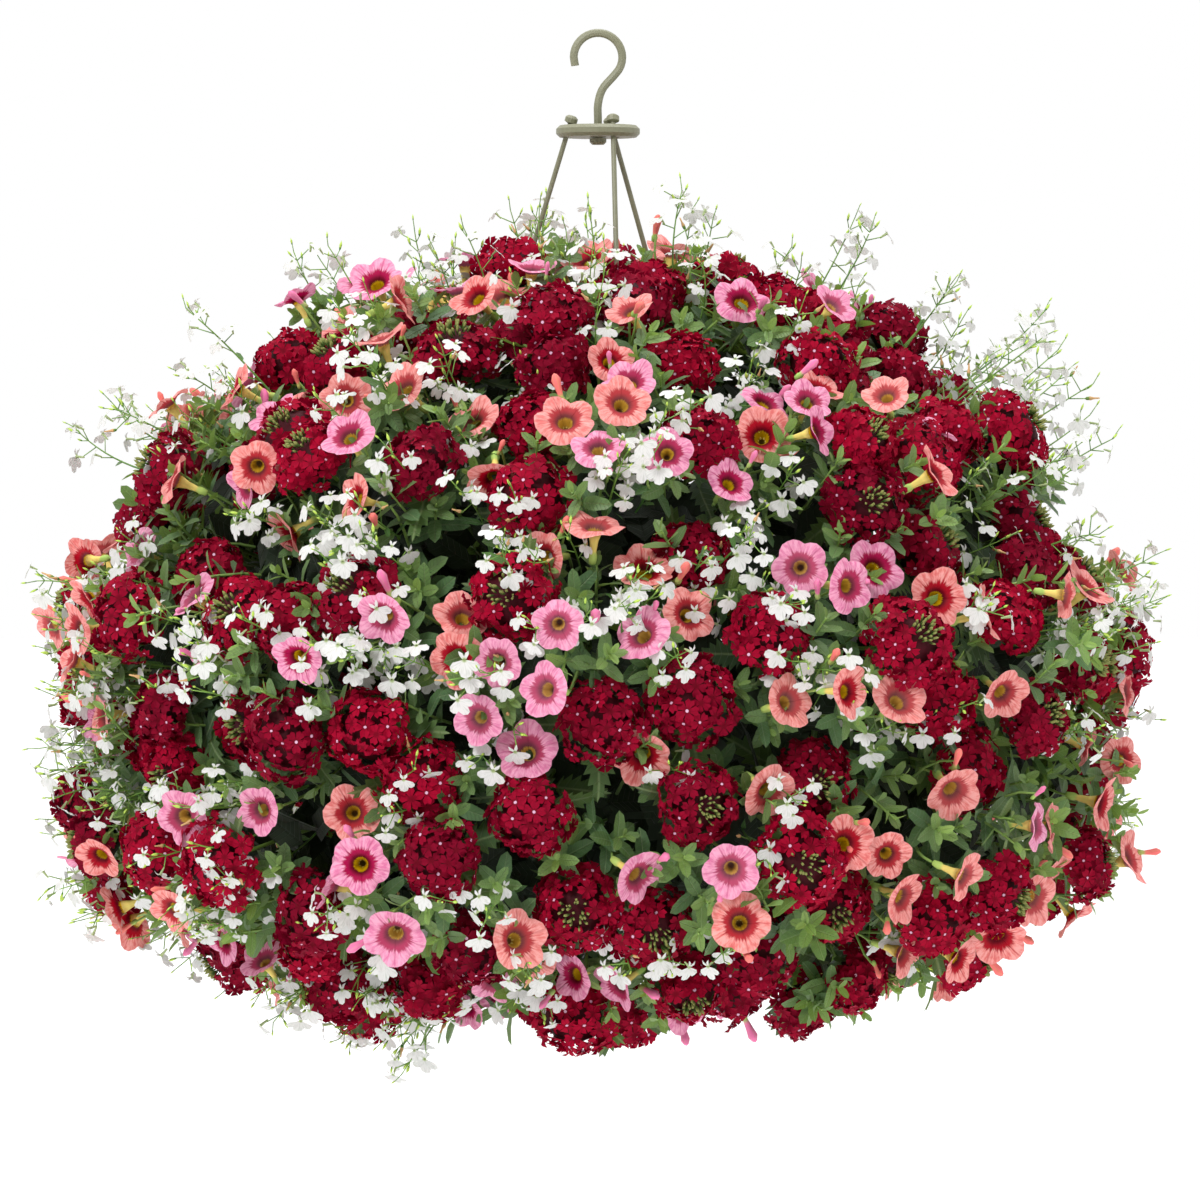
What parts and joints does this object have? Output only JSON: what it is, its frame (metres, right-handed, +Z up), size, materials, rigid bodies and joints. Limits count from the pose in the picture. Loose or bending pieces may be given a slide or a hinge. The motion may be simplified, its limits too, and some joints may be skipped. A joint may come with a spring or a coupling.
{
  "type": "mixed hanging basket",
  "caption": "Mixed hanging basket: a round pot of crimson verbena, coral and pink calibrachoa and white lobelia, on straight hanger rods with a hook.",
  "frame": {"origin": "where the inside top of the hook bears on the bracket that it hangs from", "axes": "+Z up along the hanger's line of pull, +X to the right seen from the front, front facing -Y"},
  "size_m": [0.6592, 0.6589, 0.6088],
  "materials": {
    "holder": "satin",
    "pot": "matte",
    "potting_mix": "matte",
    "verbena": "matte",
    "calibrachoa_coral": "matte",
    "calibrachoa_pink": "matte",
    "lobelia": "matte",
    "foliage": "matte"
  },
  "bodies": {
    "root": {"hanger_hook": "holder", "hanger_hub": "holder", "hanger_rod_1": "holder", "hanger_rod_2": "holder", "hanger_rod_3": "holder", "pot": "pot", "potting_mix": "potting_mix", "verbena_shoot_01": "verbena", "verbena_shoot_02": "verbena", "verbena_shoot_03": "verbena", "verbena_shoot_04": "verbena", "verbena_shoot_05": "verbena", "verbena_shoot_06": "verbena", "verbena_shoot_07": "verbena", "verbena_shoot_08": "verbena", "verbena_shoot_09": "verbena", "verbena_shoot_10": "verbena", "verbena_shoot_11": "verbena", "verbena_shoot_12": "verbena", "verbena_shoot_13": "verbena", "verbena_shoot_14": "verbena", "verbena_shoot_15": "verbena", "verbena_shoot_16": "verbena", "verbena_shoot_17": "verbena", "verbena_shoot_18": "verbena", "verbena_shoot_19": "verbena", "verbena_shoot_20": "verbena", "verbena_shoot_21": "verbena", "verbena_shoot_22": "verbena", "verbena_shoot_23": "verbena", "calibrachoa_coral_shoot_01": "calibrachoa_coral", "calibrachoa_coral_shoot_02": "calibrachoa_coral", "calibrachoa_coral_shoot_03": "calibrachoa_coral", "calibrachoa_coral_shoot_04": "calibrachoa_coral", "calibrachoa_coral_shoot_05": "calibrachoa_coral", "calibrachoa_coral_shoot_06": "calibrachoa_coral", "calibrachoa_coral_shoot_07": "calibrachoa_coral", "calibrachoa_coral_shoot_08": "calibrachoa_coral", "calibrachoa_coral_shoot_09": "calibrachoa_coral", "calibrachoa_coral_shoot_10": "calibrachoa_coral", "calibrachoa_coral_shoot_11": "calibrachoa_coral", "calibrachoa_pink_shoot_01": "calibrachoa_pink", "calibrachoa_pink_shoot_02": "calibrachoa_pink", "calibrachoa_pink_shoot_03": "calibrachoa_pink", "calibrachoa_pink_shoot_04": "calibrachoa_pink", "calibrachoa_pink_shoot_05": "calibrachoa_pink", "calibrachoa_pink_shoot_06": "calibrachoa_pink", "calibrachoa_pink_shoot_07": "calibrachoa_pink", "lobelia_shoot_01": "lobelia", "lobelia_shoot_02": "lobelia", "lobelia_shoot_03": "lobelia", "lobelia_shoot_04": "lobelia", "lobelia_shoot_05": "lobelia", "lobelia_shoot_06": "lobelia", "lobelia_shoot_07": "lobelia", "lobelia_shoot_08": "lobelia", "lobelia_shoot_09": "lobelia", "lobelia_shoot_10": "lobelia", "lobelia_shoot_11": "lobelia", "lobelia_shoot_12": "lobelia"}
  },
  "joints": []
}
